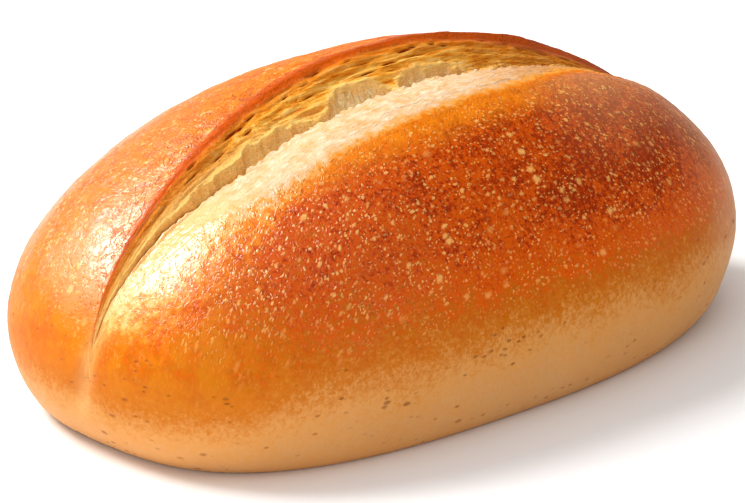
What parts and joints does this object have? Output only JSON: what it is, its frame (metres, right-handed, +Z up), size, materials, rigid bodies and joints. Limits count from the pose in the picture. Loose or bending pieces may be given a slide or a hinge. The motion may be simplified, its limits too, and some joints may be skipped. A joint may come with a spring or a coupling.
{
  "type": "bread roll",
  "caption": "Oval baked bread roll with a domed glossy crust, a long open slash along the top and a flat base to rest on.",
  "frame": {"origin": "middle of the bounding box at the flat base, on the surface that the roll rests on", "axes": "+X along the roll from its blunt end to its slightly pointed end, +Y across it from the crumb slope towards the raised lip of the slash, +Z up"},
  "size_m": [0.13, 0.079, 0.0495],
  "materials": {
    "crust": "baked crust, golden to orange-brown, satin gloss"
  },
  "bodies": {
    "root": {"bread_roll": "crust"}
  },
  "joints": []
}
